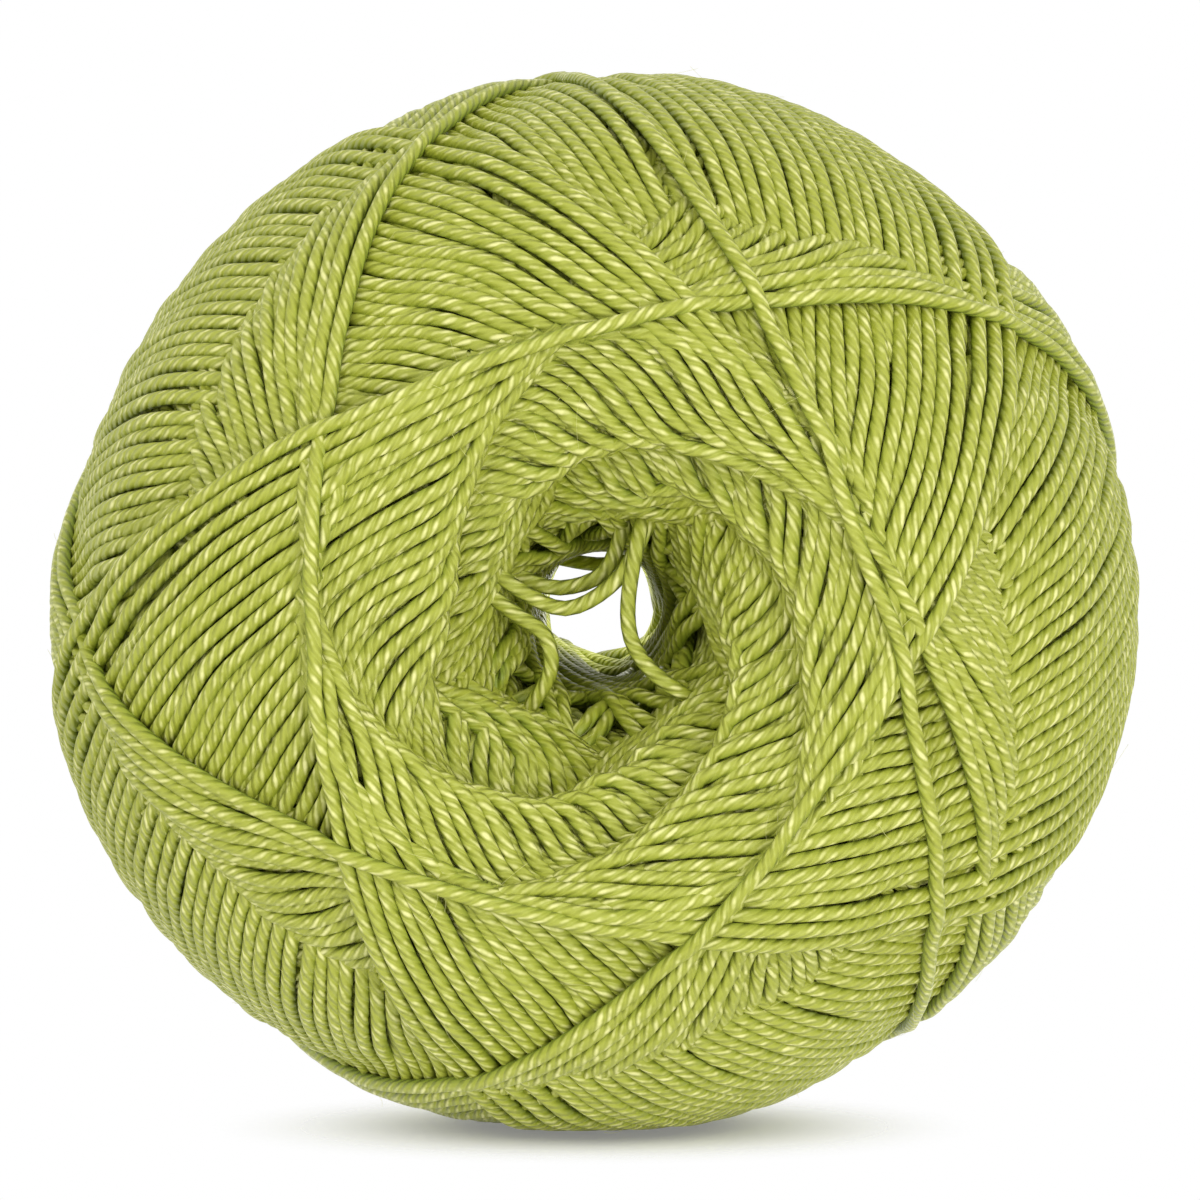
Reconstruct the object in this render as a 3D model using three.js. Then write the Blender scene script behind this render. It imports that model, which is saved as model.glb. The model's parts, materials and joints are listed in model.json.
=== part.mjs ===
// A coreless, centre-pull ball of crochet thread: one wound solid, lying on its side.
//
// Millimetres, +Z up. The hole through the ball runs along Y, and the end with the wider
// view into the winding faces -Y. The ball rests on a small flat spot at Z = 0, and its box
// is centred on X = 0 and Y = 0.
//
// The thread is wound in closed wraps. Each wrap crosses both ends of the ball as a chord
// that misses the hole, and the wraps are laid in five bundles, so that five broad ridges
// cross each end in a loose star. Inside the star older, smaller layers fall away as a
// funnel into the hole. The single turns of thread are too fine to be part of this solid.

import * as THREE from 'three';
import { mergeVertices } from 'three/addons/utils/BufferGeometryUtils.js';

// Driving dimensions
const barrelRadius = 38.0; // mean radius round the middle, before the ridges
const barrelHalfLength = 37.6; // of the barrel's curve, if it ran on to the axis
const barrelFullness = 2.3; // 2 would be an ellipse, more is squarer
const restHeight = 36.3; // from the hole's axis down to the flat spot
const holeRadius = 6.2;
const holeHalfLength = 21; // the straight stretch of the hole, either side of the middle
const rimRadius = 19.5; // where the barrel turns over into the funnel

// Mesh density
const sectors = 104; // round the hole
const barrelSteps = 29; // from rim to rim, over the outside
const funnelSteps = 6; // from rim to hole
const holeSteps = 5; // along the straight stretch

// The funnel at each end, from the rim to the hole
const funnel = [
  { radius: 15.2, height: 32.6 },
  { radius: 11.0, height: 29.8 },
  { radius: 7.8, height: 25.8 },
];

// How the ball's outline departs from a circle, looking along the hole from -Y.
// Azimuth runs from +X towards +Z, in degrees.
const outline = [
  { azimuth: 0, radius: 38.2 },
  { azimuth: 30, radius: 38.8 },
  { azimuth: 52, radius: 38.5 },
  { azimuth: 80, radius: 39.1 },
  { azimuth: 120, radius: 38.1 },
  { azimuth: 150, radius: 38.3 },
  { azimuth: 188, radius: 39.0 },
  { azimuth: 222, radius: 38.1 },
  { azimuth: 248, radius: 37.1 },
  { azimuth: 275, radius: 36.7 },
  { azimuth: 310, radius: 36.6 },
  { azimuth: 338, radius: 37.4 },
];

// The last wrap of each bundle, in the order of winding. Azimuth and distance say where its
// chord over the -Y end comes nearest to the hole's axis. Earlier wraps of the bundle lie
// further round, at a higher azimuth, and lower.
const bundles = [
  { azimuth: 107, distance: 18.9, height: 1.0 },
  { azimuth: 183, distance: 18.9, height: 1.2 },
  { azimuth: 255, distance: 19.9, height: 1.4 },
  { azimuth: 324, distance: 18.1, height: 1.4 },
  { azimuth: 20, distance: 17.6, height: 1.3 },
];
const ridgeHalfWidth = 2.9;
const ridgeSpread = [0, 8, 16, 24]; // degrees behind the last wrap, for each lower rib
const ridgeFall = 0.22; // share of the height that each rib loses

const radians = THREE.MathUtils.degToRad;

// The direction away from the hole's axis at an azimuth, seen from -Y.
function outwards(azimuth) {
  return new THREE.Vector3(Math.cos(azimuth), 0, Math.sin(azimuth));
}

function barrelHeight(radius) {
  const share = (radius / barrelRadius) ** barrelFullness;
  return barrelHalfLength * (1 - share) ** (1 / barrelFullness);
}

// The meridian is the ball's closed section through the axis, as (radius, height) points.
function barrelPoints() {
  const rimAngle = Math.atan2(barrelHeight(rimRadius), rimRadius);
  const curve = [];
  const fine = 400;
  for (let i = 0; i <= fine; i++) {
    const angle = rimAngle * ((2 * i) / fine - 1);
    const along = (Math.cos(angle) / barrelRadius) ** barrelFullness;
    const across = (Math.abs(Math.sin(angle)) / barrelHalfLength) ** barrelFullness;
    const reach = (along + across) ** (-1 / barrelFullness);
    curve.push(new THREE.Vector2(reach * Math.cos(angle), reach * Math.sin(angle)));
  }
  return evenly(curve, barrelSteps);
}

function funnelPoints() {
  const rim = new THREE.Vector2(rimRadius, barrelHeight(rimRadius));
  const throat = new THREE.Vector2(holeRadius, holeHalfLength);
  const between = funnel.map((row) => new THREE.Vector2(row.radius, row.height));
  const curve = new THREE.SplineCurve([rim, ...between, throat]);
  return curve.getSpacedPoints(funnelSteps);
}

// Steps of equal length along a polyline, both ends kept.
function evenly(points, steps) {
  const path = new THREE.CurvePath();
  for (let i = 1; i < points.length; i++) {
    path.add(new THREE.LineCurve(points[i - 1], points[i]));
  }
  return Array.from({ length: steps + 1 }, (_, i) => path.getPointAt(i / steps));
}

function meridianPoints() {
  const barrel = barrelPoints();
  const top = funnelPoints();
  const bottom = top.map((point) => new THREE.Vector2(point.x, -point.y)).reverse();
  const hole = [];
  for (let i = 1; i < holeSteps; i++) {
    const height = holeHalfLength * (1 - (2 * i) / holeSteps);
    hole.push(new THREE.Vector2(holeRadius, height));
  }
  return [...barrel, ...top.slice(1), ...hole, ...bottom.slice(0, -1)];
}

// A smooth closed curve through the outline's rows.
function outlineRadius(azimuth) {
  const turn = 360;
  const degrees = THREE.MathUtils.euclideanModulo(THREE.MathUtils.radToDeg(azimuth), turn);
  const count = outline.length;
  let last = count - 1;
  for (let i = 0; i < count; i++) {
    if (outline[i].azimuth <= degrees) last = i;
  }
  const row = (i) => outline[(i + count) % count];
  const start = row(last).azimuth;
  const span = THREE.MathUtils.euclideanModulo(row(last + 1).azimuth - start, turn);
  const share = (degrees - start) / span;
  const [before, from, to, after] = [-1, 0, 1, 2].map((i) => row(last + i).radius);
  const bend = 2 * before - 5 * from + 4 * to - after;
  const twist = 3 * from - before - 3 * to + after;
  return from + 0.5 * share * (to - before + share * (bend + share * twist));
}

// The unit normal of the plane in which a wrap lies: through the ball's centre and along
// its chord over the -Y end.
function wrapNormal(azimuth, distance) {
  const nearest = outwards(azimuth).multiplyScalar(distance);
  nearest.y = -barrelHeight(distance);
  return nearest.cross(outwards(azimuth + Math.PI / 2)).normalize();
}

function ribs() {
  const all = [];
  for (const bundle of bundles) {
    ridgeSpread.forEach((behind, rank) => {
      const normal = wrapNormal(radians(bundle.azimuth + behind), bundle.distance);
      all.push({ normal, height: bundle.height * (1 - ridgeFall * rank) });
    });
  }
  return all;
}

const allRibs = ribs();

// How far the wound bundles stand proud of the smooth form at a point.
function relief(point) {
  let most = 0;
  for (const rib of allRibs) {
    const offset = rib.normal.dot(point) / ridgeHalfWidth;
    most = Math.max(most, rib.height * Math.exp(-offset * offset));
  }
  return most;
}

// The ball's surface: the meridian turned round the axis, its barrel let out to the outline,
// the bundles raised on it, and its underside pressed flat.
function ballGeometry() {
  const meridian = meridianPoints();
  const count = meridian.length;
  const positions = [];
  const lifts = [];
  for (let j = 0; j < sectors; j++) {
    const azimuth = (2 * Math.PI * j) / sectors;
    const away = outwards(azimuth);
    const stretch = outlineRadius(azimuth) / barrelRadius - 1;
    for (let i = 0; i < count; i++) {
      const here = meridian[i];
      const ahead = meridian[(i + 1) % count];
      const behind = meridian[(i + count - 1) % count];
      const share = THREE.MathUtils.smoothstep(here.x, holeRadius, barrelRadius);
      const radius = here.x * (1 + stretch * share);
      const point = away.clone().multiplyScalar(radius);
      point.y = -here.y;
      const slope = ahead.clone().sub(behind).normalize();
      const normal = away.clone().multiplyScalar(slope.y);
      normal.y = slope.x;
      const fade = THREE.MathUtils.smoothstep(here.x, funnel[1].radius, rimRadius);
      const lift = fade * relief(point);
      point.addScaledVector(normal, lift);
      point.z = Math.max(point.z, -restHeight);
      positions.push(point.x, point.y, point.z);
      lifts.push(lift);
    }
  }
  const geometry = new THREE.BufferGeometry();
  geometry.setAttribute('position', new THREE.Float32BufferAttribute(positions, 3));
  geometry.setIndex(ringFaces(count, lifts));
  return geometry;
}

// Two triangles for each cell of the ring, split between its higher corners, so that the
// crests of the ridges run unbroken.
function ringFaces(count, lifts) {
  const faces = [];
  for (let j = 0; j < sectors; j++) {
    const next = (j + 1) % sectors;
    for (let i = 0; i < count; i++) {
      const up = (i + 1) % count;
      const [a, b] = [j * count + i, next * count + i];
      const [c, d] = [next * count + up, j * count + up];
      if (lifts[a] + lifts[c] >= lifts[b] + lifts[d]) {
        faces.push(a, b, c, a, c, d);
      } else {
        faces.push(a, b, d, b, c, d);
      }
    }
  }
  return faces;
}

// Sets the ball down: lowest face at Z = 0, box centred on the origin.
function setDown(geometry) {
  geometry.computeBoundingBox();
  const { min, max } = geometry.boundingBox;
  geometry.translate(-(min.x + max.x) / 2, -(min.y + max.y) / 2, -min.z);
  const merged = mergeVertices(geometry);
  merged.computeVertexNormals();
  return merged;
}

function threadBall() {
  const material = new THREE.MeshStandardMaterial({
    color: new THREE.Color(0.67, 0.69, 0.32),
    roughness: 0.6,
    metalness: 0,
  });
  const ball = new THREE.Mesh(setDown(ballGeometry()), material);
  ball.name = 'thread_ball';
  return ball;
}

const part = new THREE.Group();
part.add(threadBall());

export default part;
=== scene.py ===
"""A centre-pull ball of mercerised crochet thread, dressed strand by strand.

The thread is wound wrap by wrap onto a smooth form, as the winding machine lays it: each wrap
finds its height on the wraps below it, slides a little to lie beside its neighbours, and is
pulled straight over the gaps. What later wraps bury is left out of the meshes.
"""

import json
import math

import bpy
import numpy as np
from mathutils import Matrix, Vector


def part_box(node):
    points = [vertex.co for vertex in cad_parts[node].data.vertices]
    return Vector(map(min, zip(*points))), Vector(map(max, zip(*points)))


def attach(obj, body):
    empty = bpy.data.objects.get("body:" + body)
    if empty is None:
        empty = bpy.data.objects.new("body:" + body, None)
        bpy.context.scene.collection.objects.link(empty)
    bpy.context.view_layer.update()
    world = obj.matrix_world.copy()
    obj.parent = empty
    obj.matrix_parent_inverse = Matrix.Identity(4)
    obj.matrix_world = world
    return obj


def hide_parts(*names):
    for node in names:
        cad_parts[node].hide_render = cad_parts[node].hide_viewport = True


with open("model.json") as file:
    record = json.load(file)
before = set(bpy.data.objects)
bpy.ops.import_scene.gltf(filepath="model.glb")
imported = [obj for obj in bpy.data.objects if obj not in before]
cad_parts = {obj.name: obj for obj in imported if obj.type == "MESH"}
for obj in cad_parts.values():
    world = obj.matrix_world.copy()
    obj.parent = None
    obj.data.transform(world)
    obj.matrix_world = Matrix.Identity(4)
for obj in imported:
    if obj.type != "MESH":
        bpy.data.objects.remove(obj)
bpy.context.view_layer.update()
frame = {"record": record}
NODE = "thread_ball"
BODY = "root"
MM = 0.001
rng = np.random.default_rng(11)

# ---------------------------------------------------------------- sizes, in millimetres

box_low, box_high = (np.array(corner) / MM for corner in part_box(NODE))
hole_low, hole_high = (
    np.array(corner) / MM for corner in frame["record"]["physics"]["openings"][0]["box_m"]
)
CENTRE = (hole_low + hole_high) / 2  # the middle of the hole, which is the ball's centre
HALF_WIDTH = (box_high[0] - box_low[0]) / 2

THREAD = 1.06  # diameter
RADIUS = THREAD / 2
MEAN_RADIUS = 0.965 * HALF_WIDTH  # of the wound surface, round the middle
FULLNESS = 2.3  # of the barrel's curve: 2 would be an ellipse, more is squarer

# The finished surface, from the middle of the hole to the rim of the end.
FUNNEL = [
    {"radius": 6.2, "height": 0.5},
    {"radius": 6.2, "height": 9.0},
    {"radius": 6.2, "height": 16.0},
    {"radius": 6.6, "height": 19.2},
    {"radius": 7.6, "height": 23.2},
    {"radius": 9.4, "height": 26.7},
    {"radius": 11.8, "height": 29.4},
    {"radius": 15.2, "height": 31.9},
    {"radius": 19.5, "height": 33.6},
]
# The outline's distance from the hole's axis, looking along +Y. Azimuth 0 is +X, 90 is +Z.
OUTLINE = [
    {"azimuth": 0, "radius": 38.2},
    {"azimuth": 30, "radius": 38.8},
    {"azimuth": 52, "radius": 38.5},
    {"azimuth": 80, "radius": 39.1},
    {"azimuth": 120, "radius": 38.1},
    {"azimuth": 150, "radius": 38.3},
    {"azimuth": 188, "radius": 39.0},
    {"azimuth": 222, "radius": 38.1},
    {"azimuth": 248, "radius": 37.1},
    {"azimuth": 275, "radius": 36.7},
    {"azimuth": 310, "radius": 36.6},
    {"azimuth": 338, "radius": 37.4},
]

# ---------------------------------------------------------------- the winding, in degrees

BUNDLES = 5
WRAPS_PER_BUNDLE = 84
STEP = 1.9  # how far each wrap of a bundle lies behind the one laid after it
# The last wraps of each bundle, in winding order: where their chords over the -Y end come
# nearest to the axis, and how near. The bulge is added to the distance of the middle wraps,
# the last wrap of all runs ahead of its bundle, and a late one lies over the next bundles.
# The lag is how far it has fallen behind a great circle at the ball's middle.
LEADS = [
    {"azimuth": 107, "distance": 18.9, "bulge": -1.2, "ahead": 0, "late": 4, "lag": 2},
    {"azimuth": 183, "distance": 18.9, "bulge": 1.2, "ahead": 0, "late": 0, "lag": 2},
    {"azimuth": 255, "distance": 19.9, "bulge": 0.0, "ahead": 0, "late": 0, "lag": 2},
    {"azimuth": 324, "distance": 18.1, "bulge": 0.2, "ahead": 0, "late": 0, "lag": 2},
    {"azimuth": 391, "distance": 17.9, "bulge": 0.2, "ahead": 11, "late": 1, "lag": 16},
]
# How near the axis the earlier wraps of a bundle pass, counted back from the last.
DISTANCES = [
    {"back": 0, "distance": 18.7},
    {"back": 6, "distance": 16.4},
    {"back": 12, "distance": 14.1},
    {"back": 24, "distance": 11.7},
    {"back": 36, "distance": 10.3},
    {"back": 48, "distance": 9.1},
    {"back": 58, "distance": 7.4},
    {"back": 70, "distance": 5.2},
    {"back": 84, "distance": 2.4},
]
LAG = 2
LEAD_WRAPS = 4  # the last wraps of a bundle, which lie further apart
LEAD_SPREAD = 1.2  # more degrees between each two of them
START_WRAPS = 20  # over which a bundle's own distance gives way to the common one
BULGE_WRAPS = 40  # over which its bulge rises and falls
AZIMUTH_WOBBLE = 0.3
DISTANCE_WOBBLE = 0.06

# ---------------------------------------------------------------- the form under the winding


def catmull_rom(values, places, ring=False):
    """Smooth values through evenly numbered rows, which may close to a ring."""
    count = len(values)
    values = np.asarray(values, float)
    start = np.floor(places).astype(int)
    share = places - start
    rows = []
    for shift in (-1, 0, 1, 2):
        at = start + shift
        at = at % count if ring else np.clip(at, 0, count - 1)
        rows.append(values[at])
    before, here, there, after = rows
    bend = 2 * before - 5 * here + 4 * there - after
    twist = 3 * here - before - 3 * there + after
    return here + 0.5 * share * (there - before + share * (bend + share * twist))


def outline_radius(azimuth):
    degrees = np.degrees(azimuth) % 360
    knots = np.array([row["azimuth"] for row in OUTLINE] + [360 + OUTLINE[0]["azimuth"]], float)
    places = np.interp(degrees, knots, np.arange(len(knots)))
    return catmull_rom([row["radius"] for row in OUTLINE], places, ring=True)


def half_meridian():
    """(radius, height) from the middle of the hole, over the rim, to the ball's middle."""
    places = np.linspace(0, len(FUNNEL) - 1, 160)
    radius = catmull_rom([row["radius"] for row in FUNNEL], places)
    height = catmull_rom([row["height"] for row in FUNNEL], places)
    rim = FUNNEL[-1]
    share = (rim["radius"] / MEAN_RADIUS) ** FULLNESS
    length = rim["height"] / (1 - share) ** (1 / FULLNESS)
    angles = np.linspace(math.atan2(rim["height"], rim["radius"]), 0, 240)[1:]
    across = (np.cos(angles) / MEAN_RADIUS) ** FULLNESS
    along = (np.sin(angles) / length) ** FULLNESS
    reach = (across + along) ** (-1 / FULLNESS)
    radius = np.concatenate([radius, reach * np.cos(angles)])
    height = np.concatenate([height, reach * np.sin(angles)])
    return radius, height


ROW = 0.25  # spacing of the height field along the meridian
COLUMNS = 720  # round the axis


def meridian():
    """The closed section's outer side, from the -Y throat to the +Y throat, evenly spaced."""
    radius, height = half_meridian()
    radius = np.concatenate([radius, radius[-2::-1]])
    along = np.concatenate([-height, height[-2::-1]])
    run = np.concatenate([[0], np.cumsum(np.hypot(np.diff(radius), np.diff(along)))])
    even = np.arange(0, run[-1], ROW)
    return np.interp(even, run, radius), np.interp(even, run, along)


def form():
    """Places and outward normals of the form, on a grid round the axis and along it."""
    radius, along = meridian()
    slope_r, slope_y = np.gradient(radius), np.gradient(along)
    size = np.hypot(slope_r, slope_y)
    out_r, out_y = slope_y / size, -slope_r / size
    azimuth = np.arange(COLUMNS) * 2 * math.pi / COLUMNS
    hole = FUNNEL[0]["radius"]
    share = np.clip((radius - hole) / (MEAN_RADIUS - hole), 0, 1)
    share = share * share * (3 - 2 * share)
    stretch = outline_radius(azimuth)[:, None] / MEAN_RADIUS - 1
    reach = radius[None, :] * (1 + stretch * share[None, :])
    cos, sin = np.cos(azimuth)[:, None], np.sin(azimuth)[:, None]
    places = np.stack([reach * cos, np.broadcast_to(along, reach.shape), reach * sin], axis=2)
    normals = np.stack(
        [out_r * cos, np.broadcast_to(out_y, reach.shape), out_r * sin], axis=2
    )
    return places, normals, radius, along


PLACES, NORMALS, ROW_RADIUS, ROW_ALONG = form()
ROWS = len(ROW_RADIUS)
LIP = int(np.argmax(ROW_RADIUS > 7.9))  # the row at which the hole's wall starts
WALL_STEEPNESS = math.radians(0.75)  # tilt of a wrap for each millimetre down the wall
WALL_NEARING = 0.35  # by how much it counts as nearer to the axis for each millimetre


def row_polar():
    """The polar angle of each row, which goes on falling evenly down the hole's wall."""
    polar = np.arctan2(ROW_RADIUS, -ROW_ALONG)
    down = np.arange(LIP, 0, -1) * ROW * WALL_STEEPNESS
    polar[:LIP] = polar[LIP] - down
    polar[ROWS - LIP :] = polar[ROWS - LIP - 1] + down[::-1]
    return polar


ROW_POLAR = row_polar()
# A wrap's nearest distance from the axis picks the row that it reaches. Down the wall this
# distance goes on falling, slowly, though the wall does not narrow.
NEAREST = ROW_RADIUS[: ROWS // 2].copy()
NEAREST[:LIP] = NEAREST[LIP] - np.arange(LIP, 0, -1) * ROW * WALL_NEARING


def on_grid(grid, azimuth, row):
    """The grid's value between its columns and rows."""
    column = azimuth * COLUMNS / (2 * math.pi)
    row = np.clip(row, 0, ROWS - 1.001)
    c0, r0 = np.floor(column).astype(int), np.floor(row).astype(int)
    cf, rf = (column - c0)[:, None], (row - r0)[:, None]
    c1 = (c0 + 1) % COLUMNS
    c0 = c0 % COLUMNS
    near = grid[c0, r0] * (1 - cf) + grid[c1, r0] * cf
    far = grid[c0, r0 + 1] * (1 - cf) + grid[c1, r0 + 1] * cf
    return near * (1 - rf) + far * rf


# ---------------------------------------------------------------- laying the wraps

TINY = 1e-9  # keeps lengths off zero
SAMPLES = 460  # along each wrap
SAMPLE_SPACING = 0.5  # of these, in round figures
LAYER = 0.78  # how far one thread sinks under another that crosses it
MOST_LAYERS = 2.2
SLACK = 0.45  # how much lower a taut thread may lie than the layers over it ask for
RISE_LENGTH = 6.0  # distance along a thread in which it comes up by one millimetre
AGE_DROP = 0.16  # how much lower the surface is for each round that its top thread is older
AGE_ROWS = 6  # rows each way over which the common age round the axis is evened out
GREATEST_RELIEF = 2.6
# The share of the relief that shows, from the crater to the ball's middle.
RELIEF_SHARE = [
    {"radius": 14, "share": 1.0},
    {"radius": 20, "share": 0.7},
    {"radius": 26, "share": 0.7},
    {"radius": 35, "share": 0.3},
]
# The crater of the -Y end is deepest at its lower left.
DENT = {"azimuth": 226, "half_angle": 54, "radius": 9.8, "half_width": 3.5, "depth": 2.8}
SHOULDER_LEAD = 2.5  # rounds by which threads coming in over the rim count as laid later
SHOULDER_START = 36  # degrees of turn from the middle of an end at which this starts
SHOULDER_SPAN = 10  # and those over which it grows to the full
HIDDEN_LAG = 5  # rounds by which a thread that dips under its neighbours counts as laid earlier
LAST_WRAPS = 3  # of each bundle, which lie more and more over all others
ACROSS = RADIUS * np.array([-0.88, -0.44, 0, 0.44, 0.88])
FOOT_SPACING = 0.1


def disc(spacing, reach):
    """Evenly spaced offsets that fill a disc."""
    side = np.arange(-reach, reach + spacing / 2, spacing)
    across, along = np.meshgrid(side, side)
    keep = np.hypot(across, along) < reach
    return across[keep], along[keep]


FOOT_A, FOOT_B = disc(FOOT_SPACING, RADIUS)


def cells(azimuth, row, across, along):
    """Grid cells at small metric offsets from places on the form."""
    radius = np.interp(row, np.arange(ROWS), ROW_RADIUS)
    column = (azimuth[:, None] + across / radius[:, None]) * COLUMNS / (2 * math.pi)
    column = np.rint(column).astype(int) % COLUMNS
    at = np.clip(np.rint(row[:, None] + along / ROW), 0, ROWS - 1).astype(int)
    return column * ROWS + at


def heading(azimuth, row):
    """The direction of routes, round the axis and along the form, and their radius."""
    radius = np.interp(row, np.arange(ROWS), ROW_RADIUS)
    go_a = radius * np.gradient(azimuth, axis=-1)
    go_b = ROW * np.gradient(row, axis=-1)
    size = np.hypot(go_a, go_b) + TINY
    return go_a / size, go_b / size, radius


def cells_across(azimuth, row):
    """Grid cells at a few places across a thread, for each place along it."""
    go_a, go_b, _ = heading(np.unwrap(azimuth), row)
    return cells(azimuth, row, -np.outer(go_b, ACROSS), np.outer(go_a, ACROSS))


def smooth(values, reach, rounds=2):
    """Moving average along an open wrap."""
    kernel = np.ones(2 * reach + 1) / (2 * reach + 1)
    for _ in range(rounds):
        padded = np.pad(values, reach, mode="edge")
        values = np.convolve(padded, kernel, mode="valid")
    return values


def along_thread(values, reach):
    """Moving average along the whole thread, wrap after wrap."""
    return smooth(values.ravel(), reach, 1).reshape(values.shape)


def wrap_plan():
    """Azimuth, nearest row and lag of every wrap's front chord, in the order of winding."""
    plan = []
    knots = [row["back"] for row in DISTANCES]
    distances = [row["distance"] for row in DISTANCES]
    for back in range(WRAPS_PER_BUNDLE - 1, -1, -1):
        fade = math.sin(math.pi * min(back / BULGE_WRAPS, 1))
        for lead in LEADS:
            wobble = rng.normal(0, AZIMUTH_WOBBLE) if back else -lead["ahead"]
            azimuth = lead["azimuth"] + STEP * back + LEAD_SPREAD * min(back, LEAD_WRAPS) + wobble
            start = (lead["distance"] - distances[0]) * max(0, 1 - back / START_WRAPS)
            distance = np.interp(back, knots, distances) + start + lead["bulge"] * fade
            distance += rng.normal(0, DISTANCE_WOBBLE)
            near = np.interp(distance, NEAREST, np.arange(ROWS // 2))
            plan.append((azimuth, near, LAG if back else lead["lag"]))
    return plan


def wrap_route(plan, index):
    """Azimuth and row along one wrap, from the far end round over the front and back."""
    azimuth, near, lag = plan[index]
    step = 360 / BUNDLES
    before = plan[index - 1] if index else (azimuth - step, near)
    after = plan[index + 1] if index + 1 < len(plan) else (azimuth + step, near)
    turn = np.linspace(-math.pi, math.pi, SAMPLES, endpoint=False)
    first = turn < 0
    from_front = np.abs(turn)
    step_in, step_out = (azimuth - before[0]) % 360, (after[0] - azimuth) % 360
    whole = np.radians(np.where(first, step_in, step_out)) / 2
    lag = math.radians(lag)
    behind = 0.5 + 0.5 * np.cos(2 * from_front)
    drift = np.where(from_front < math.pi / 2, lag * (2 * from_front / math.pi) ** 2,
                     lag + (whole - lag) * behind)
    share = 0.5 - 0.5 * np.cos(np.clip(2 * from_front - math.pi, 0, math.pi))
    nearest = near + share * (np.where(first, before[1], after[1]) - near) / 2
    tilt = np.interp(nearest, np.arange(ROWS // 2), ROW_POLAR[: ROWS // 2])
    polar = np.arccos(np.clip(np.cos(turn) * np.cos(tilt), -1, 1))
    swing = np.arctan2(-np.sin(turn), np.cos(turn) * np.sin(tilt))
    row = np.interp(polar, ROW_POLAR, np.arange(ROWS))
    return math.radians(azimuth) + np.unwrap(swing) + drift * np.sign(turn), row


TOUCH = 0.97 * THREAD  # spacing of threads that lie side by side
EMERGE = 0.12  # change of spacing, in threads, over which one comes up between its neighbours
MOST_SHIFT = 1.6
WAVER = 0.07  # of a thread to either side of its even line
WAVER_REACH = 7  # samples each way over which the wavering is evened out, twice
SETTLE = 5  # samples each way over which a sideways shift is evened out
SIDE_SWITCH = 0.1 * THREAD  # gap within which a wrap changes over to another's other side
GOLDEN_SHARE = (math.sqrt(5) - 1) / 2


def older_wraps(count):
    """For each wrap, the one laid before it in its bundle."""
    return np.maximum(np.arange(count) - BUNDLES, 0)


def gaps_to_older(azimuth, row):
    """How far to its side each wrap has the one laid before it in its bundle."""
    shape = azimuth.shape
    points = on_grid(PLACES, azimuth.ravel(), row.ravel()).reshape(*shape, 3)
    normals = on_grid(NORMALS, azimuth.ravel(), row.ravel()).reshape(*shape, 3)
    ahead = np.gradient(points.reshape(-1, 3), axis=0).reshape(*shape, 3)
    side = np.cross(normals, ahead)
    side /= np.linalg.norm(side, axis=2)[:, :, None] + TINY
    older = older_wraps(len(azimuth))
    gap = ((points[older] - points) * (side + side[older])).sum(axis=2) / 2
    return along_thread(gap, SETTLE)


def stay_up(gap):
    """How far each place of each wrap is up beside its neighbours, from 0 to 1.

    Where they are too close to lie side by side, some dip under the others. The shares that
    stay up follow the golden ratio, so that these are spread evenly through the bundle.
    """
    count = len(gap)
    newer = np.minimum(np.arange(count) + BUNDLES, count - 1)
    spacing = (np.abs(gap) + np.abs(gap[newer])) / 2 / THREAD
    back = (count - 1 - np.arange(count)) // BUNDLES
    threshold = (back * GOLDEN_SHARE) % 1
    up = np.clip((spacing - threshold[:, None]) / EMERGE + 0.5, 0, 1)
    up[back == 0] = 1
    return up * up * (3 - 2 * up)


def settle(routes):
    """Slides the wraps of each bundle apart, as threads that cannot overlap.

    Gives the new routes and how far each place of each wrap is up.
    """
    azimuth, row = np.array(routes).transpose(1, 0, 2)
    count = len(routes)
    gap = gaps_to_older(azimuth, row)
    up = stay_up(gap)
    wanted = TOUCH * (up + up[older_wraps(count)]) / 2 + np.maximum(np.abs(gap) - THREAD, 0)
    extra = np.tanh(gap / SIDE_SWITCH) * wanted - gap
    shift = np.zeros(azimuth.shape)
    for index in range(count - 1 - BUNDLES, -1, -1):
        shift[index] = shift[index + BUNDLES] + extra[index + BUNDLES]
    shift = MOST_SHIFT * np.tanh(along_thread(shift, SETTLE) / MOST_SHIFT)
    waver = rng.normal(0, 1, azimuth.shape)
    for _ in range(2):
        waver = along_thread(waver, WAVER_REACH)
    shift += WAVER * waver / waver.std()
    go_a, go_b, radius = heading(azimuth, row)
    azimuth = azimuth + go_b * shift / radius
    row = row - go_a * shift / ROW
    return list(zip(azimuth, row)), up


PRESS_COLUMNS = 4
PRESS_ROWS = 3


def spread(field, columns, rows):
    """The field averaged over a few columns and rows each way, twice."""
    for _ in range(2):
        padded = np.pad(field, ((columns + 1, columns), (0, 0)), mode="wrap")
        total = np.cumsum(padded, axis=0)
        field = (total[2 * columns + 1 :] - total[: -2 * columns - 1]) / (2 * columns + 1)
        padded = np.pad(field, ((0, 0), (rows + 1, rows)), mode="edge")
        total = np.cumsum(padded, axis=1)
        field = (total[:, 2 * rows + 1 :] - total[:, : -2 * rows - 1]) / (2 * rows + 1)
    return field


def dent(azimuth, radius):
    """How much deeper the dent makes the -Y end at places round the axis and away from it."""
    turn = nearest_turn(azimuth - math.radians(DENT["azimuth"]))
    turn = np.clip(np.abs(turn) / math.radians(DENT["half_angle"]), 0, 1)
    away = np.clip(np.abs(radius - DENT["radius"]) / DENT["half_width"], 0, 1)
    return DENT["depth"] / 4 * (1 + np.cos(math.pi * turn)) * (1 + np.cos(math.pi * away))


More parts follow.
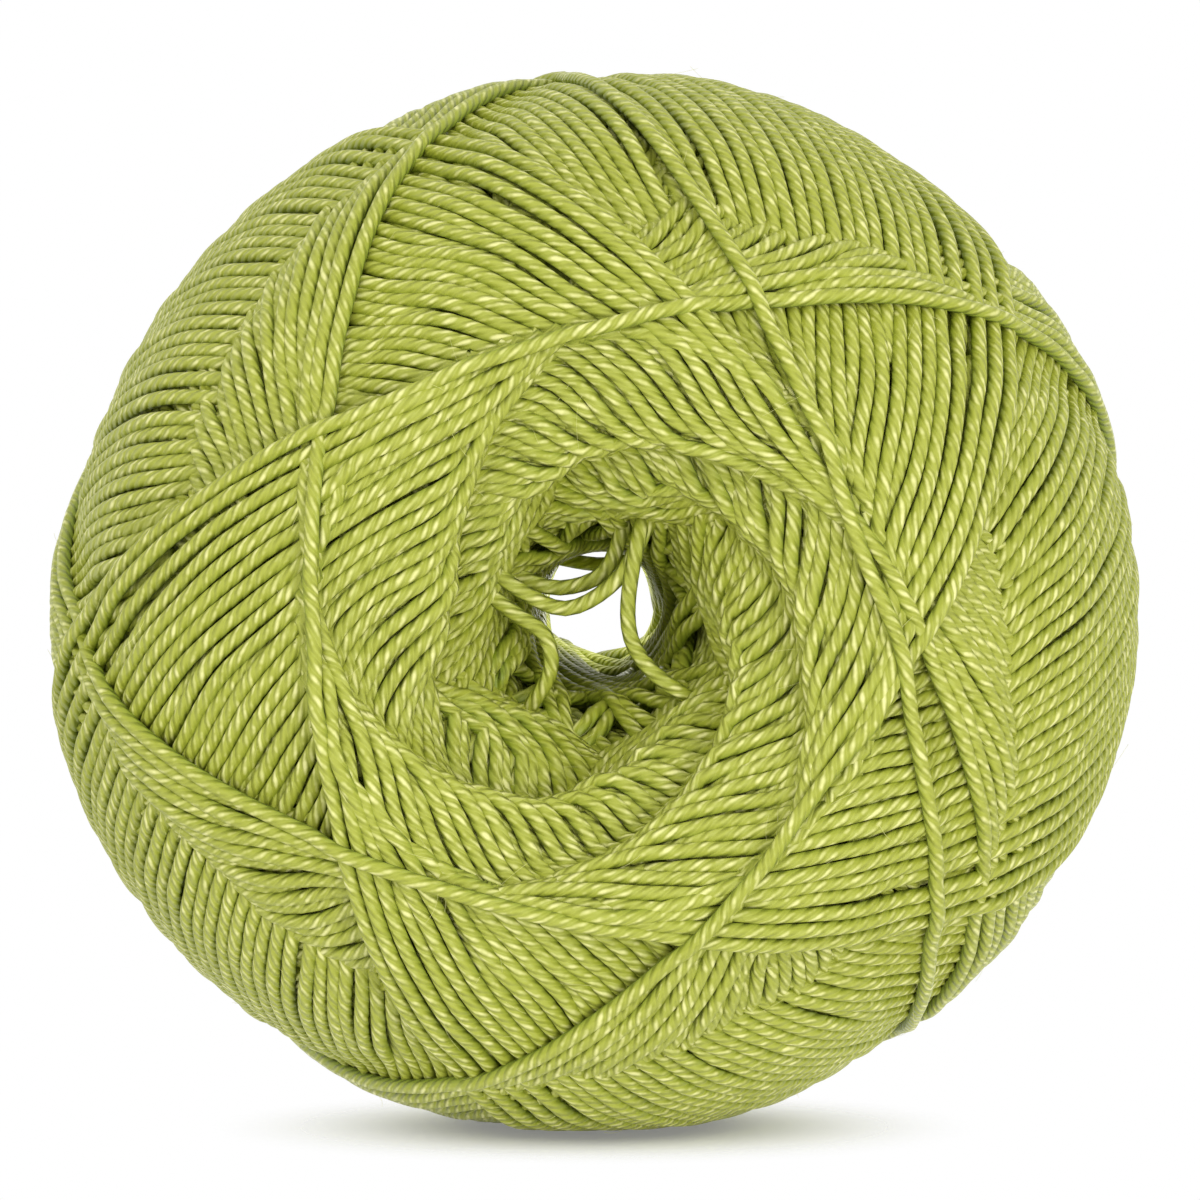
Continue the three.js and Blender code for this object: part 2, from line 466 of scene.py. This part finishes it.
def precedence(index, count):
    """How late each place along a wrap counts as laid, in wraps.

    On the shoulders the threads that come in over the rim lie above those that leave,
    but for the last few wraps, which lie over all.
    """
    turn = np.linspace(-180, 180, SAMPLES, endpoint=False)
    from_face = np.minimum(np.abs(turn), 180 - np.abs(turn))
    share = np.clip((from_face - SHOULDER_START) / SHOULDER_SPAN, 0, 1)
    entering = (turn // 90) % 2 == 1
    back = (count - 1 - index) // BUNDLES
    late = LEADS[index % BUNDLES]["late"] if back == 0 else 0
    leaving = 1 - min(back / LAST_WRAPS, 2)
    return index + late + SHOULDER_LEAD * BUNDLES * share * np.where(entering, 1, leaving)


def laid_cells(routes, up):
    """The grid cells that the wraps cover, top first: cell, wrap and depth in threads."""
    cell, wrap, late = [], [], []
    for index, (azimuth, row) in enumerate(routes):
        laid, first = np.unique(cells(azimuth, row, FOOT_A, FOOT_B), return_index=True)
        cell.append(laid)
        wrap.append(np.full(len(laid), index))
        order = precedence(index, len(routes)) - HIDDEN_LAG * BUNDLES * (1 - up[index])
        late.append(order[first // len(FOOT_A)])
    cell, wrap, late = np.concatenate(cell), np.concatenate(wrap), np.concatenate(late)
    order = np.lexsort((-late, cell))
    cell, wrap = cell[order], wrap[order]
    starts = np.flatnonzero(np.diff(cell, prepend=-1))
    depth = np.arange(len(cell)) - np.repeat(starts, np.diff(starts, append=len(cell)))
    return cell, wrap, depth


def surface_relief(cell, wrap, count):
    """How far the winding's surface stands off the form, from the top wrap of each cell."""
    age = np.full(COLUMNS * ROWS, float(WRAPS_PER_BUNDLE))
    age[cell] = (count - 1 - wrap) / BUNDLES
    age = spread(age.reshape(COLUMNS, ROWS), PRESS_COLUMNS, PRESS_ROWS)
    relief = -AGE_DROP * (age - smooth(age.mean(axis=0), AGE_ROWS)[None, :])
    relief = GREATEST_RELIEF * np.tanh(relief / GREATEST_RELIEF)
    knots = [row["radius"] for row in RELIEF_SHARE]
    shares = [row["share"] for row in RELIEF_SHARE]
    relief *= np.interp(ROW_RADIUS, knots, shares)[None, :]
    columns = np.arange(COLUMNS)[:, None] * 2 * math.pi / COLUMNS
    relief[:, : ROWS // 2] -= dent(columns, ROW_RADIUS[None, : ROWS // 2])
    return relief


def pulled_taut(asked):
    """Heights along a wrap that is pressed down here and there, and comes up only slowly."""
    height = asked.copy()
    reach = int(RISE_LENGTH * math.sqrt(SLACK + LAYER) / SAMPLE_SPACING) + 1
    for gap in range(1, reach):
        rise = (gap * SAMPLE_SPACING / RISE_LENGTH) ** 2
        height[gap:] = np.minimum(height[gap:], asked[:-gap] + rise)
        height[:-gap] = np.minimum(height[:-gap], asked[gap:] + rise)
    return np.maximum(height, asked - SLACK)


def wind():
    """Each wrap's azimuth, row, height and whether it shows, and the relief of the surface."""
    plan = wrap_plan()
    count = len(plan)
    routes, up = settle([wrap_route(plan, index) for index in range(count)])
    cell, wrap, depth = laid_cells(routes, up)
    top = depth == 0
    relief = surface_relief(cell[top], wrap[top], count)

    key = cell * count + wrap
    order = np.argsort(key)
    key, depth = key[order], depth[order]
    wraps = []
    for index, (azimuth, row) in enumerate(routes):
        wanted = cells_across(azimuth, row) * count + index
        at = np.minimum(np.searchsorted(key, wanted), len(key) - 1)
        layers = np.where(key[at] == wanted, depth[at], 0)
        height = pulled_taut(-LAYER * np.minimum(layers.mean(axis=1), MOST_LAYERS))
        height = smooth(height, 2)
        height += on_grid(relief[:, :, None], azimuth, row)[:, 0] - RADIUS
        wraps.append((azimuth, row, height, (layers == 0).any(axis=1)))
    return relief, wraps


# ---------------------------------------------------------------- strands as meshes

UV_NAME = "Thread"
UV_SCATTER = 100  # millimetres within which each strand's twist starts
SIDES = 8
POINT_SPACING = 1.3  # of the rings along a strand
HIDDEN_ENDS = 3  # samples by which a strand goes on under what hides it
SHORTEST_RUN = 4  # samples of the shortest strand
FLAT_REACH = 1.6  # height above the floor's contact from which strands are pressed flat


def runs(flags, grow):
    """Runs of true samples along a wrap, each let out a little at its ends."""
    grown = np.convolve(flags, np.ones(2 * grow + 1), mode="same") > 0
    edges = np.diff(np.concatenate([[False], grown, [False]]).astype(int))
    starts, ends = np.flatnonzero(edges == 1), np.flatnonzero(edges == -1)
    found = [np.arange(start, end) for start, end in zip(starts, ends)]
    return [run for run in found if len(run) >= SHORTEST_RUN]


def press_flat(points):
    """Flattens the underside where the ball rests, keeping the strands in order."""
    floor = -CENTRE[2] + RADIUS
    start = floor + FLAT_REACH
    low = points[:, 2] < start
    depth = start - points[low, 2]
    points[low, 2] = floor + (start - floor) * np.exp(-depth / (start - floor))
    return points


def tube(points, normals, radius, sides):
    """The rings of one strand with its two end points, and the run along it."""
    ahead = np.gradient(points, axis=0)
    ahead /= np.linalg.norm(ahead, axis=1)[:, None]
    side = np.cross(ahead, normals)
    side /= np.linalg.norm(side, axis=1)[:, None]
    up = np.cross(side, ahead)
    angles = np.arange(sides) * 2 * math.pi / sides
    ring = (
        side[:, None, :] * np.cos(angles)[None, :, None]
        + up[:, None, :] * np.sin(angles)[None, :, None]
    )
    vertices = (points[:, None, :] + radius * ring).reshape(-1, 3)
    ends = np.stack([points[0], points[-1]])
    vertices = np.concatenate([vertices, ends])
    run = np.concatenate([[0], np.cumsum(np.linalg.norm(np.diff(points, axis=0), axis=1))])
    return vertices, run


def mesh_piece(name, vertices, corners, totals, uvs):
    """A mesh object from places in millimetres and the corners and size of each face."""
    mesh = bpy.data.meshes.new(name)
    mesh.vertices.add(len(vertices))
    mesh.vertices.foreach_set("co", (vertices * MM).ravel())
    mesh.loops.add(len(corners))
    mesh.loops.foreach_set("vertex_index", corners)
    mesh.polygons.add(len(totals))
    mesh.polygons.foreach_set("loop_start", np.concatenate([[0], np.cumsum(totals)[:-1]]))
    mesh.polygons.foreach_set("loop_total", totals)
    layer = mesh.uv_layers.new(name=UV_NAME)
    layer.data.foreach_set("uv", uvs.ravel())
    mesh.update(calc_edges=True)
    mesh.validate()
    mesh.shade_smooth()
    piece = bpy.data.objects.new(name, mesh)
    bpy.context.collection.objects.link(piece)
    return piece


def strand_mesh(name, strands, radius=RADIUS, sides=SIDES):
    """One mesh of many strands. The UV map holds metres along and turns round each strand."""
    all_vertices, corners, totals, uvs = [], [], [], []
    base = 0
    side = np.arange(sides)
    next_side = (side + 1) % sides
    for points, normals in strands:
        vertices, run = tube(points, normals, radius, sides)
        count = len(points)
        i, j = np.meshgrid(np.arange(count - 1), side, indexing="ij")
        next_j = (j + 1) % sides
        quads = np.stack(
            [i * sides + j, (i + 1) * sides + j, (i + 1) * sides + next_j, i * sides + next_j],
            axis=2,
        )
        u = (rng.uniform(0, UV_SCATTER) + run) * MM
        along = np.stack([u[i], u[i + 1], u[i + 1], u[i]], axis=2)
        turned = np.stack([j, j, j + 1, j + 1], axis=2) / sides
        tip, tail, last = count * sides, count * sides + 1, (count - 1) * sides
        head = np.stack([np.full(sides, tip), side, next_side], axis=1)
        foot = np.stack([np.full(sides, tail), last + next_side, last + side], axis=1)
        corners += [base + quads.ravel(), base + head.ravel(), base + foot.ravel()]
        totals += [np.full(quads.size // 4, 4), np.full(2 * sides, 3)]
        uvs.append(np.stack([along, turned], axis=3).reshape(-1, 2))
        uvs += [np.tile([end, 0.5], (3 * sides, 1)) for end in (u[0], u[-1])]
        all_vertices.append(vertices)
        base += len(vertices)
    return mesh_piece(name, np.concatenate(all_vertices) + CENTRE, np.concatenate(corners),
                      np.concatenate(totals), np.concatenate(uvs))


def resampled(points, normals, spacing):
    """The same line with evenly spaced points."""
    run = np.concatenate([[0], np.cumsum(np.linalg.norm(np.diff(points, axis=0), axis=1))])
    count = max(3, int(run[-1] / spacing) + 1)
    even = np.linspace(0, run[-1], count)
    new_points = np.stack([np.interp(even, run, points[:, k]) for k in range(3)], axis=1)
    new_normals = np.stack([np.interp(even, run, normals[:, k]) for k in range(3)], axis=1)
    return new_points, new_normals


def nearest_turn(angle):
    """The angle less whole turns, between half a turn back and half a turn on."""
    return (angle + math.pi) % (2 * math.pi) - math.pi


def wound_strands(wraps):
    """The visible strands of each bundle."""
    bundles = [[] for _ in range(BUNDLES)]
    for index in range(len(wraps)):
        azimuth, row, height, flags = wraps[index]
        if index + 1 < len(wraps):
            after = wraps[index + 1]
            azimuth = np.append(azimuth, azimuth[-1] + nearest_turn(after[0][:2] - azimuth[-1]))
            row = np.append(row, after[1][:2])
            height = np.append(height, after[2][:2])
            flags = np.append(flags, after[3][:2])
        place = on_grid(PLACES, azimuth, row)
        normal = on_grid(NORMALS, azimuth, row)
        points = place + normal * height[:, None]
        for run in runs(flags, HIDDEN_ENDS):
            strand = resampled(press_flat(points[run]), normal[run], POINT_SPACING)
            bundles[index % BUNDLES].append(strand)
    return bundles


HOLE_WINDINGS = 19  # steep turns each way that line the hole
HOLE_TWIST = 0.62  # how far round one runs, in turns, from end to end
HOLE_BOW = 0.04  # turns by which it strays from its helix
HOLE_START = 0.25  # and from its even place, as a share of their spacing
HOLE_LAYER = 0.6  # how much further out the turns of the other way lie
HOLE_SWAY = {"reach": 0.25, "length": 4, "step": 2.4}  # in and out along the hole
LINING_POINTS = 110
LINING_DENT = 1.5  # how far the lining sinks for each millimetre of the dent
# Their middle line along the hole, from the -Y end to the +Y end, and how far it is lifted.
LINING = [
    {"along": -24, "radius": 12.0, "lift": 0.0},
    {"along": -21.5, "radius": 8.6, "lift": 0.0},
    {"along": -19, "radius": 6.6, "lift": 0.1},
    {"along": -16, "radius": 5.5, "lift": 0.2},
    {"along": 0, "radius": 4.9, "lift": 0.5},
    {"along": 17, "radius": 4.5, "lift": 0.9},
    {"along": 22, "radius": 5.6, "lift": 0.6},
    {"along": 24, "radius": 8.8, "lift": 0.0},
    {"along": 26, "radius": 12.6, "lift": 0.0},
]


def hole_strands():
    """Older threads that line the hole, crossing each other on steep helices."""
    strands = []
    knots = np.array([row["along"] for row in LINING], float)
    even = np.linspace(knots[0], knots[-1], LINING_POINTS)
    places = np.interp(even, knots, np.arange(len(knots)))
    along, middle, lift = (
        catmull_rom([row[name] for row in LINING], places) for name in ("along", "radius", "lift")
    )
    share = along / knots[-1]
    for number in range(2 * HOLE_WINDINGS):
        way = 1 if number % 2 else -1
        start = (number // 2 + rng.uniform(-HOLE_START, HOLE_START)) / HOLE_WINDINGS
        bow = HOLE_BOW * np.sin(share * math.pi + rng.uniform(0, 6))
        angle = 2 * math.pi * (start + way * (share * HOLE_TWIST / 2 + bow))
        sway = np.sin(along / HOLE_SWAY["length"] + HOLE_SWAY["step"] * number)
        radius = middle + HOLE_LAYER * (number % 2) + HOLE_SWAY["reach"] * sway
        cos, sin = np.cos(angle), np.sin(angle)
        sunk = along + LINING_DENT * np.where(along < 0, dent(angle, radius), 0)
        points = np.stack([radius * cos, sunk, radius * sin + lift], axis=1)
        normals = np.stack([-cos, 0 * along, -sin], axis=1)
        strands.append(resampled(points, normals, POINT_SPACING))
    return strands


LOOSE_SPACING = 0.8  # of the rings along the loose threads, which bend more than the rest
# Threads that hang loose in the hole, as seen from the -Y end: x, y and z from its middle.
LOOSE = {
    "upper_loop": [(-9.8, -20, 6.0), (-8.0, -22, 4.4), (-5.5, -22, 2.3), (-2.2, -21.5, 1.0),
                   (1.2, -21.5, 3.0), (3.2, -21, 6.6), (4.4, -18, 9.0)],
    "inner_loop": [(-7.8, -18, 4.6), (-4.7, -19, 2.8), (-2.2, -19, 2.4), (0.4, -19.5, 3.6),
                   (1.8, -19, 7.2)],
    "left_curl": [(-10.5, -19, 4.6), (-8.0, -21.5, 2.4), (-5.7, -22, 0.6), (-3.9, -22, -0.6),
                  (-3.3, -22, -2.3), (-3.6, -21.5, -3.9), (-4.5, -20.5, -5.3),
                  (-5.8, -17, -7.6)],
    "right_strand": [(3.6, -18, 9.0), (2.8, -21.5, 6.6), (2.2, -22, 3.7), (1.9, -22, 1.3),
                     (2.0, -22, -0.6), (2.6, -22, -2.1), (3.9, -22, -3.6), (5.9, -21.5, -5.0),
                     (8.6, -18, -6.8)],
    "far_bow": [(-6.8, 18, 5.2), (-3.6, 20, 4.1), (0.4, 20, 3.5), (3.8, 20, 4.4), (6.8, 18, 6.0)],
    "far_upright": [(3.2, 19, 7.2), (4.2, 20, 3.0), (4.5, 20, -0.8), (4.0, 20, -4.0),
                    (5.2, 18, -6.8)],
    "far_slant": [(-6.8, 16, 0.8), (-5.0, 18, 2.6), (-3.4, 20, 5.2), (-2.6, 19, 7.4)],
}


def loose_strands():
    """Smooth lines through the points of each loose thread."""
    strands = []
    for points in LOOSE.values():
        places = np.linspace(0, len(points) - 1, 12 * len(points))
        curve = np.stack([catmull_rom(axis, places) for axis in zip(*points)], axis=1)
        facing = np.tile([0.0, -1.0, 0.0], (len(curve), 1))
        strands.append(resampled(curve, facing, LOOSE_SPACING))
    return strands


HAIRS = 800
HAIR_RADIUS = 0.010
HAIR_LENGTH = 2.2
HAIR_SIDES = 3
HAIR_POINTS = 7
HAIR_CLEAR = 0.2  # height above the floor that hairs keep


def hair_strands(wraps):
    """Fine fibres that stand off the threads here and there."""
    hairs = []
    while len(hairs) < HAIRS:
        azimuth, row, height, seen = wraps[rng.integers(len(wraps))]
        at = rng.integers(SAMPLES)
        if not seen[at]:
            continue
        here = slice(at, at + 1)
        normal = on_grid(NORMALS, azimuth[here], row[here])[0]
        place = on_grid(PLACES, azimuth[here], row[here])[0]
        place = place + normal * (height[at] + 0.8 * RADIUS)
        course = rng.normal(0, 1, 3)
        course -= normal * (course @ normal)
        course = course / np.linalg.norm(course) + normal * rng.uniform(0.0, 0.3)
        bend = rng.normal(0, 0.5, 3) - 0.35 * normal
        run = np.linspace(0, HAIR_LENGTH * rng.uniform(0.4, 1.3), HAIR_POINTS)[:, None]
        curve = place + course * run + bend * (run / HAIR_LENGTH) ** 2
        if curve[:, 2].min() > -CENTRE[2] + HAIR_CLEAR:
            hairs.append((curve, np.tile(np.cross(course, bend), (HAIR_POINTS, 1))))
    return hairs


UNDER_DEPTH = 2.9  # of the closed winding under the strands
UNDER_COLUMNS = 180
UNDER_ROWS = 6  # rows of the height field for each of its own


def under_surface(relief):
    """The older winding that shows as a dark ground in the gaps between the strands, darkened
    also by painted shade in its colour.
    """
    rows = np.arange(0, ROWS, UNDER_ROWS)
    columns = np.arange(0, COLUMNS, COLUMNS // UNDER_COLUMNS)
    depth = relief[np.ix_(columns, rows)] - UNDER_DEPTH
    points = PLACES[np.ix_(columns, rows)] + NORMALS[np.ix_(columns, rows)] * depth[:, :, None]
    points = press_flat(points.reshape(-1, 3)) + CENTRE
    count = len(rows)
    i, j = np.meshgrid(np.arange(len(columns)), np.arange(count), indexing="ij")
    after_i, after_j = (i + 1) % len(columns), (j + 1) % count
    faces = np.stack(
        [i * count + j, after_i * count + j, after_i * count + after_j, i * count + after_j],
        axis=2,
    ).reshape(-1, 4)
    # Its UVs are all zero, so the thread material gives it the painted shade of a thread's side,
    # darker than the strands' tops.
    return mesh_piece("winding_under", points, faces.ravel(), np.full(len(faces), 4),
                      np.zeros((faces.size, 2)))


# ---------------------------------------------------------------- materials


def math_node(tree, operation, *values):
    """A Math node's output. Its values are numbers or other nodes' outputs."""
    made = tree.nodes.new("ShaderNodeMath")
    made.operation = operation
    for socket, value in zip(made.inputs, values):
        if isinstance(value, bpy.types.NodeSocket):
            tree.links.new(value, socket)
        else:
            socket.default_value = value
    return made.outputs[0]


def noise(tree, vector, scale, detail):
    """Smooth noise about 0.5, with the given number of features per metre."""
    made = tree.nodes.new("ShaderNodeTexNoise")
    made.inputs["Scale"].default_value = scale
    made.inputs["Detail"].default_value = detail
    tree.links.new(vector, made.inputs["Vector"])
    return made.outputs["Fac"]


PLIES = 4
PLY_PITCH = 4.4 * MM  # length of thread in one full turn of its plies
PLY_ANGLE = 8  # degrees between the fibres and the thread
PLY_RELIEF = 0.13 * MM
PLY_SHARPNESS = 1.4  # of the grooves: 1 is round
UNEVEN_TWIST = {"scale": 350, "turns": 0.3}
# The ramp's darkest colour is painted shade at the thread's sides and underside, the middle one
# is the thread's own colour, and the lightest is a painted highlight on the plies' crests.
PAINTED_SHADE_COLOUR = (0.165, 0.235, 0.009)
BODY_COLOUR = (0.36, 0.395, 0.041)
CREST_HIGHLIGHT = (0.76, 0.75, 0.30)
BODY_PLACE = 0.4  # of the thread's own colour on the ramp, between the painted shade's and the painted highlight's
STREAKS = {"scale": 900, "gain": 2.2, "base": -0.45}  # where a ply's crest carries a painted highlight, here and there
TOP_LIGHT_SIDE_SHADE = {"gain": 0.75, "base": 0.35}  # painted light on a thread's outer side, painted shade at its sides
BODY_PAINTED_SHADE = {"gain": 0.35, "base": 0.08}  # of the thread between its highlight streaks: painted shade at its sides, painted light on its outer side
GLOSS_TINT = (0.98, 1.0, 0.70)


def ply_waves(tree, along, turned, place):
    """The S-twist: 0 in the grooves between the plies and 1 on their crests."""
    turns = math_node(tree, "DIVIDE", along, PLY_PITCH)
    wander = noise(tree, place, UNEVEN_TWIST["scale"], 1)
    uneven = math_node(tree, "MULTIPLY", wander, UNEVEN_TWIST["turns"])
    phase = math_node(tree, "SUBTRACT", math_node(tree, "ADD", turns, uneven), turned)
    wave = math_node(tree, "SINE", math_node(tree, "MULTIPLY", phase, PLIES * math.pi))
    return math_node(tree, "POWER", math_node(tree, "ABSOLUTE", wave), PLY_SHARPNESS)


def thread_colour(tree, ply, turned, place):
    """Painted highlights lie along the plies' crests, here and there; painted shade darkens the
    thread's sides and underside, and painted light brightens its outer side.
    """
    spots = noise(tree, place, STREAKS["scale"], 2)
    streaks = math_node(tree, "MULTIPLY_ADD", spots, STREAKS["gain"], STREAKS["base"])
    # Painted shade and light: the thread's colour is darker at its sides and underside and
    # lighter on its outer side, as light falls on it.
    height = math_node(tree, "SINE", math_node(tree, "MULTIPLY", turned, 2 * math.pi))
    top_light_side_shade = math_node(tree, "MULTIPLY_ADD", height, TOP_LIGHT_SIDE_SHADE["gain"], TOP_LIGHT_SIDE_SHADE["base"])
    top_light_side_shade.node.use_clamp = True
    lit = math_node(tree, "MULTIPLY", math_node(tree, "MULTIPLY", ply, streaks), top_light_side_shade)
    body = math_node(tree, "MULTIPLY_ADD", top_light_side_shade, BODY_PAINTED_SHADE["gain"], BODY_PAINTED_SHADE["base"])
    ramp = tree.nodes.new("ShaderNodeValToRGB")
    ramp.color_ramp.elements[0].color = (*PAINTED_SHADE_COLOUR, 1)
    ramp.color_ramp.elements[1].color = (*CREST_HIGHLIGHT, 1)
    ramp.color_ramp.elements.new(BODY_PLACE).color = (*BODY_COLOUR, 1)
    tree.links.new(math_node(tree, "MAXIMUM", lit, body), ramp.inputs["Fac"])
    return ramp.outputs["Color"]


def thread_material():
    """Glossy plied thread, drawn from metres along it and turns round it, with painted highlights
    and painted shade in its colour.
    """
    material = bpy.data.materials.new("mercerised_thread")
    material.use_nodes = True
    tree = material.node_tree
    shader = tree.nodes["Principled BSDF"]
    shader.inputs["Roughness"].default_value = 0.45
    shader.inputs["Specular IOR Level"].default_value = 0.6
    shader.inputs["Specular Tint"].default_value = (*GLOSS_TINT, 1)
    shader.inputs["Anisotropic"].default_value = 0.9
    shader.inputs["Anisotropic Rotation"].default_value = 0.25 + PLY_ANGLE / 360
    fibres = tree.nodes.new("ShaderNodeTangent")
    fibres.direction_type = "UV_MAP"
    fibres.uv_map = UV_NAME
    tree.links.new(fibres.outputs["Tangent"], shader.inputs["Tangent"])

    uv = tree.nodes.new("ShaderNodeUVMap")
    uv.uv_map = UV_NAME
    split = tree.nodes.new("ShaderNodeSeparateXYZ")
    tree.links.new(uv.outputs["UV"], split.inputs["Vector"])
    along, turned = split.outputs["X"], split.outputs["Y"]
    place = tree.nodes.new("ShaderNodeTexCoord").outputs["Object"]
    ply = ply_waves(tree, along, turned, place)
    colour = thread_colour(tree, ply, turned, place)
    tree.links.new(colour, shader.inputs["Base Color"])
    bump = tree.nodes.new("ShaderNodeBump")
    bump.inputs["Strength"].default_value = 1.0
    bump.inputs["Distance"].default_value = PLY_RELIEF
    tree.links.new(ply, bump.inputs["Height"])
    tree.links.new(bump.outputs["Normal"], shader.inputs["Normal"])
    return material


def fuzz_material():
    """Dull fine fibres in the colour of the painted highlights on the plies' crests."""
    material = bpy.data.materials.new("fuzz")
    material.use_nodes = True
    shader = material.node_tree.nodes["Principled BSDF"]
    shader.inputs["Base Color"].default_value = (*CREST_HIGHLIGHT, 1)
    shader.inputs["Roughness"].default_value = 0.7
    return material


# ---------------------------------------------------------------- stage, light and camera


# The floor is a small patch that holds the ball's shadow. Its sizes are in metres.
FLOOR_CLEAR = 0.008  # radius to which it is plain
FLOOR_END = 0.028  # radius at which it has faded into the white surroundings
FLOOR_GLOW = 0.20  # its own light, which doesn't light the ball


def background_rays(tree):
    """1 for the rays that show the background: straight, mirrored or through glass."""
    paths = tree.nodes.new("ShaderNodeLightPath").outputs
    seen = math_node(tree, "MAXIMUM", paths["Is Camera Ray"], paths["Is Glossy Ray"])
    return math_node(tree, "MAXIMUM", seen, paths["Is Transmission Ray"])


def floor_material():
    """A pale floor that catches the shadow and fades into the white backdrop."""
    material = bpy.data.materials.new("floor_white")
    material.use_nodes = True
    tree = material.node_tree
    shader = tree.nodes["Principled BSDF"]
    shader.inputs["Base Color"].default_value = (0.82, 0.82, 0.82, 1)
    shader.inputs["Roughness"].default_value = 0.9
    shader.inputs["Specular IOR Level"].default_value = 0.1
    glow = tree.nodes.new("ShaderNodeEmission")
    tree.links.new(math_node(tree, "MULTIPLY", background_rays(tree), FLOOR_GLOW),
                   glow.inputs["Strength"])
    both = tree.nodes.new("ShaderNodeAddShader")
    tree.links.new(shader.outputs[0], both.inputs[0])
    tree.links.new(glow.outputs[0], both.inputs[1])
    place = tree.nodes.new("ShaderNodeTexCoord")
    reach = tree.nodes.new("ShaderNodeVectorMath")
    reach.operation = "LENGTH"
    tree.links.new(place.outputs["Object"], reach.inputs[0])
    fade = tree.nodes.new("ShaderNodeMapRange")
    fade.interpolation_type = "SMOOTHSTEP"
    fade.inputs["From Min"].default_value = FLOOR_CLEAR
    fade.inputs["From Max"].default_value = FLOOR_END
    tree.links.new(reach.outputs["Value"], fade.inputs["Value"])
    clear = tree.nodes.new("ShaderNodeBsdfTransparent")
    mix = tree.nodes.new("ShaderNodeMixShader")
    tree.links.new(fade.outputs["Result"], mix.inputs[0])
    tree.links.new(both.outputs[0], mix.inputs[1])
    tree.links.new(clear.outputs[0], mix.inputs[2])
    tree.links.new(mix.outputs[0], tree.nodes["Material Output"].inputs["Surface"])
    return material


def make_stage():
    """The floor that the ball rests on."""
    bpy.ops.mesh.primitive_plane_add(size=2 * FLOOR_END, location=(0, 0, 0))
    floor = bpy.context.object
    floor.name = "floor"
    floor.data.materials.append(floor_material())


def make_world():
    """Plain white surroundings, which are also the backdrop."""
    world = bpy.data.worlds.new("studio")
    bpy.context.scene.world = world
    world.use_nodes = True
    background = world.node_tree.nodes["Background"]
    background.inputs["Color"].default_value = (1, 1, 1, 1)
    background.inputs["Strength"].default_value = 1.0


# Places and sizes of the lamps in metres, power in watts. The key light is low on the right,
# below the level of the small floor: of the places tried, it shades the ball most like the
# photo from there.
LAMPS = [
    {"name": "key", "place": (0.34, -0.80, -0.06), "size": 0.25, "power": 2.5},
    {"name": "fill", "place": (-0.20, -0.75, 0.30), "size": 0.5, "power": 1.1},
]
# A weak lamp inside the hole, behind and above its middle in millimetres, that faces down.
HOLE_LAMP = {"behind": 12.0, "above": 3.5, "size": 0.005, "power": 0.0007}


def area_light(name, place, target, size, power):
    """A round lamp that faces its target and that the camera doesn't see."""
    data = bpy.data.lights.new(name, "AREA")
    data.shape = "DISK"
    data.size = size
    data.energy = power
    lamp = bpy.data.objects.new(name, data)
    lamp.visible_camera = False
    lamp.location = place
    lamp.rotation_euler = (Vector(target) - Vector(place)).to_track_quat("-Z", "Y").to_euler()
    bpy.context.collection.objects.link(lamp)


def make_lights():
    """Two soft lamps in front of the ball and a weak one in its hole."""
    for lamp in LAMPS:
        area_light(lamp["name"], lamp["place"], CENTRE * MM, lamp["size"], lamp["power"])
    inside = Vector((CENTRE[0], HOLE_LAMP["behind"], CENTRE[2] + HOLE_LAMP["above"])) * MM
    below = inside - Vector((0, 0, 1))
    area_light("hole_light", inside, below, HOLE_LAMP["size"], HOLE_LAMP["power"])


VIEW_DISTANCE = 0.47
VIEW_ELEVATION = 1.0
VIEW_WIDTH = 0.0855  # at the ball's middle
VIEW_LIFT = 1.2  # of the view's middle above the hole's axis, in millimetres
SENSOR_WIDTH = 36


def make_camera():
    """The photo's view, from in front of the -Y end."""
    data = bpy.data.cameras.new("camera")
    camera = bpy.data.objects.new("camera", data)
    angle = math.radians(VIEW_ELEVATION)
    target = Vector((CENTRE[0] * MM, 0, (CENTRE[2] + VIEW_LIFT) * MM))
    camera.location = target + VIEW_DISTANCE * Vector((0, -math.cos(angle), math.sin(angle)))
    camera.rotation_euler = (target - camera.location).to_track_quat("-Z", "Y").to_euler()
    data.sensor_width = SENSOR_WIDTH
    data.lens = SENSOR_WIDTH * VIEW_DISTANCE / VIEW_WIDTH
    bpy.context.collection.objects.link(camera)
    bpy.context.scene.camera = camera


# ---------------------------------------------------------------- build

def dress(piece, material):
    """Gives a piece its material and sets it on the CAD body."""
    piece.data.materials.append(material)
    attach(piece, BODY)


relief, wraps = wind()
thread = thread_material()
for number, strands in enumerate(wound_strands(wraps)):
    bundle = strand_mesh(f"bundle_{number + 1}", strands)
    dress(bundle, thread)
    if number == 0:
        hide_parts(NODE)
dress(under_surface(relief), thread)
dress(strand_mesh("hole_lining", hole_strands()), thread)
dress(strand_mesh("loose_threads", loose_strands()), thread)
hairs = strand_mesh("fuzz", hair_strands(wraps), HAIR_RADIUS, HAIR_SIDES)
dress(hairs, fuzz_material())

make_stage()
make_world()
make_lights()
make_camera()
bpy.context.scene.view_settings.view_transform = "Standard"
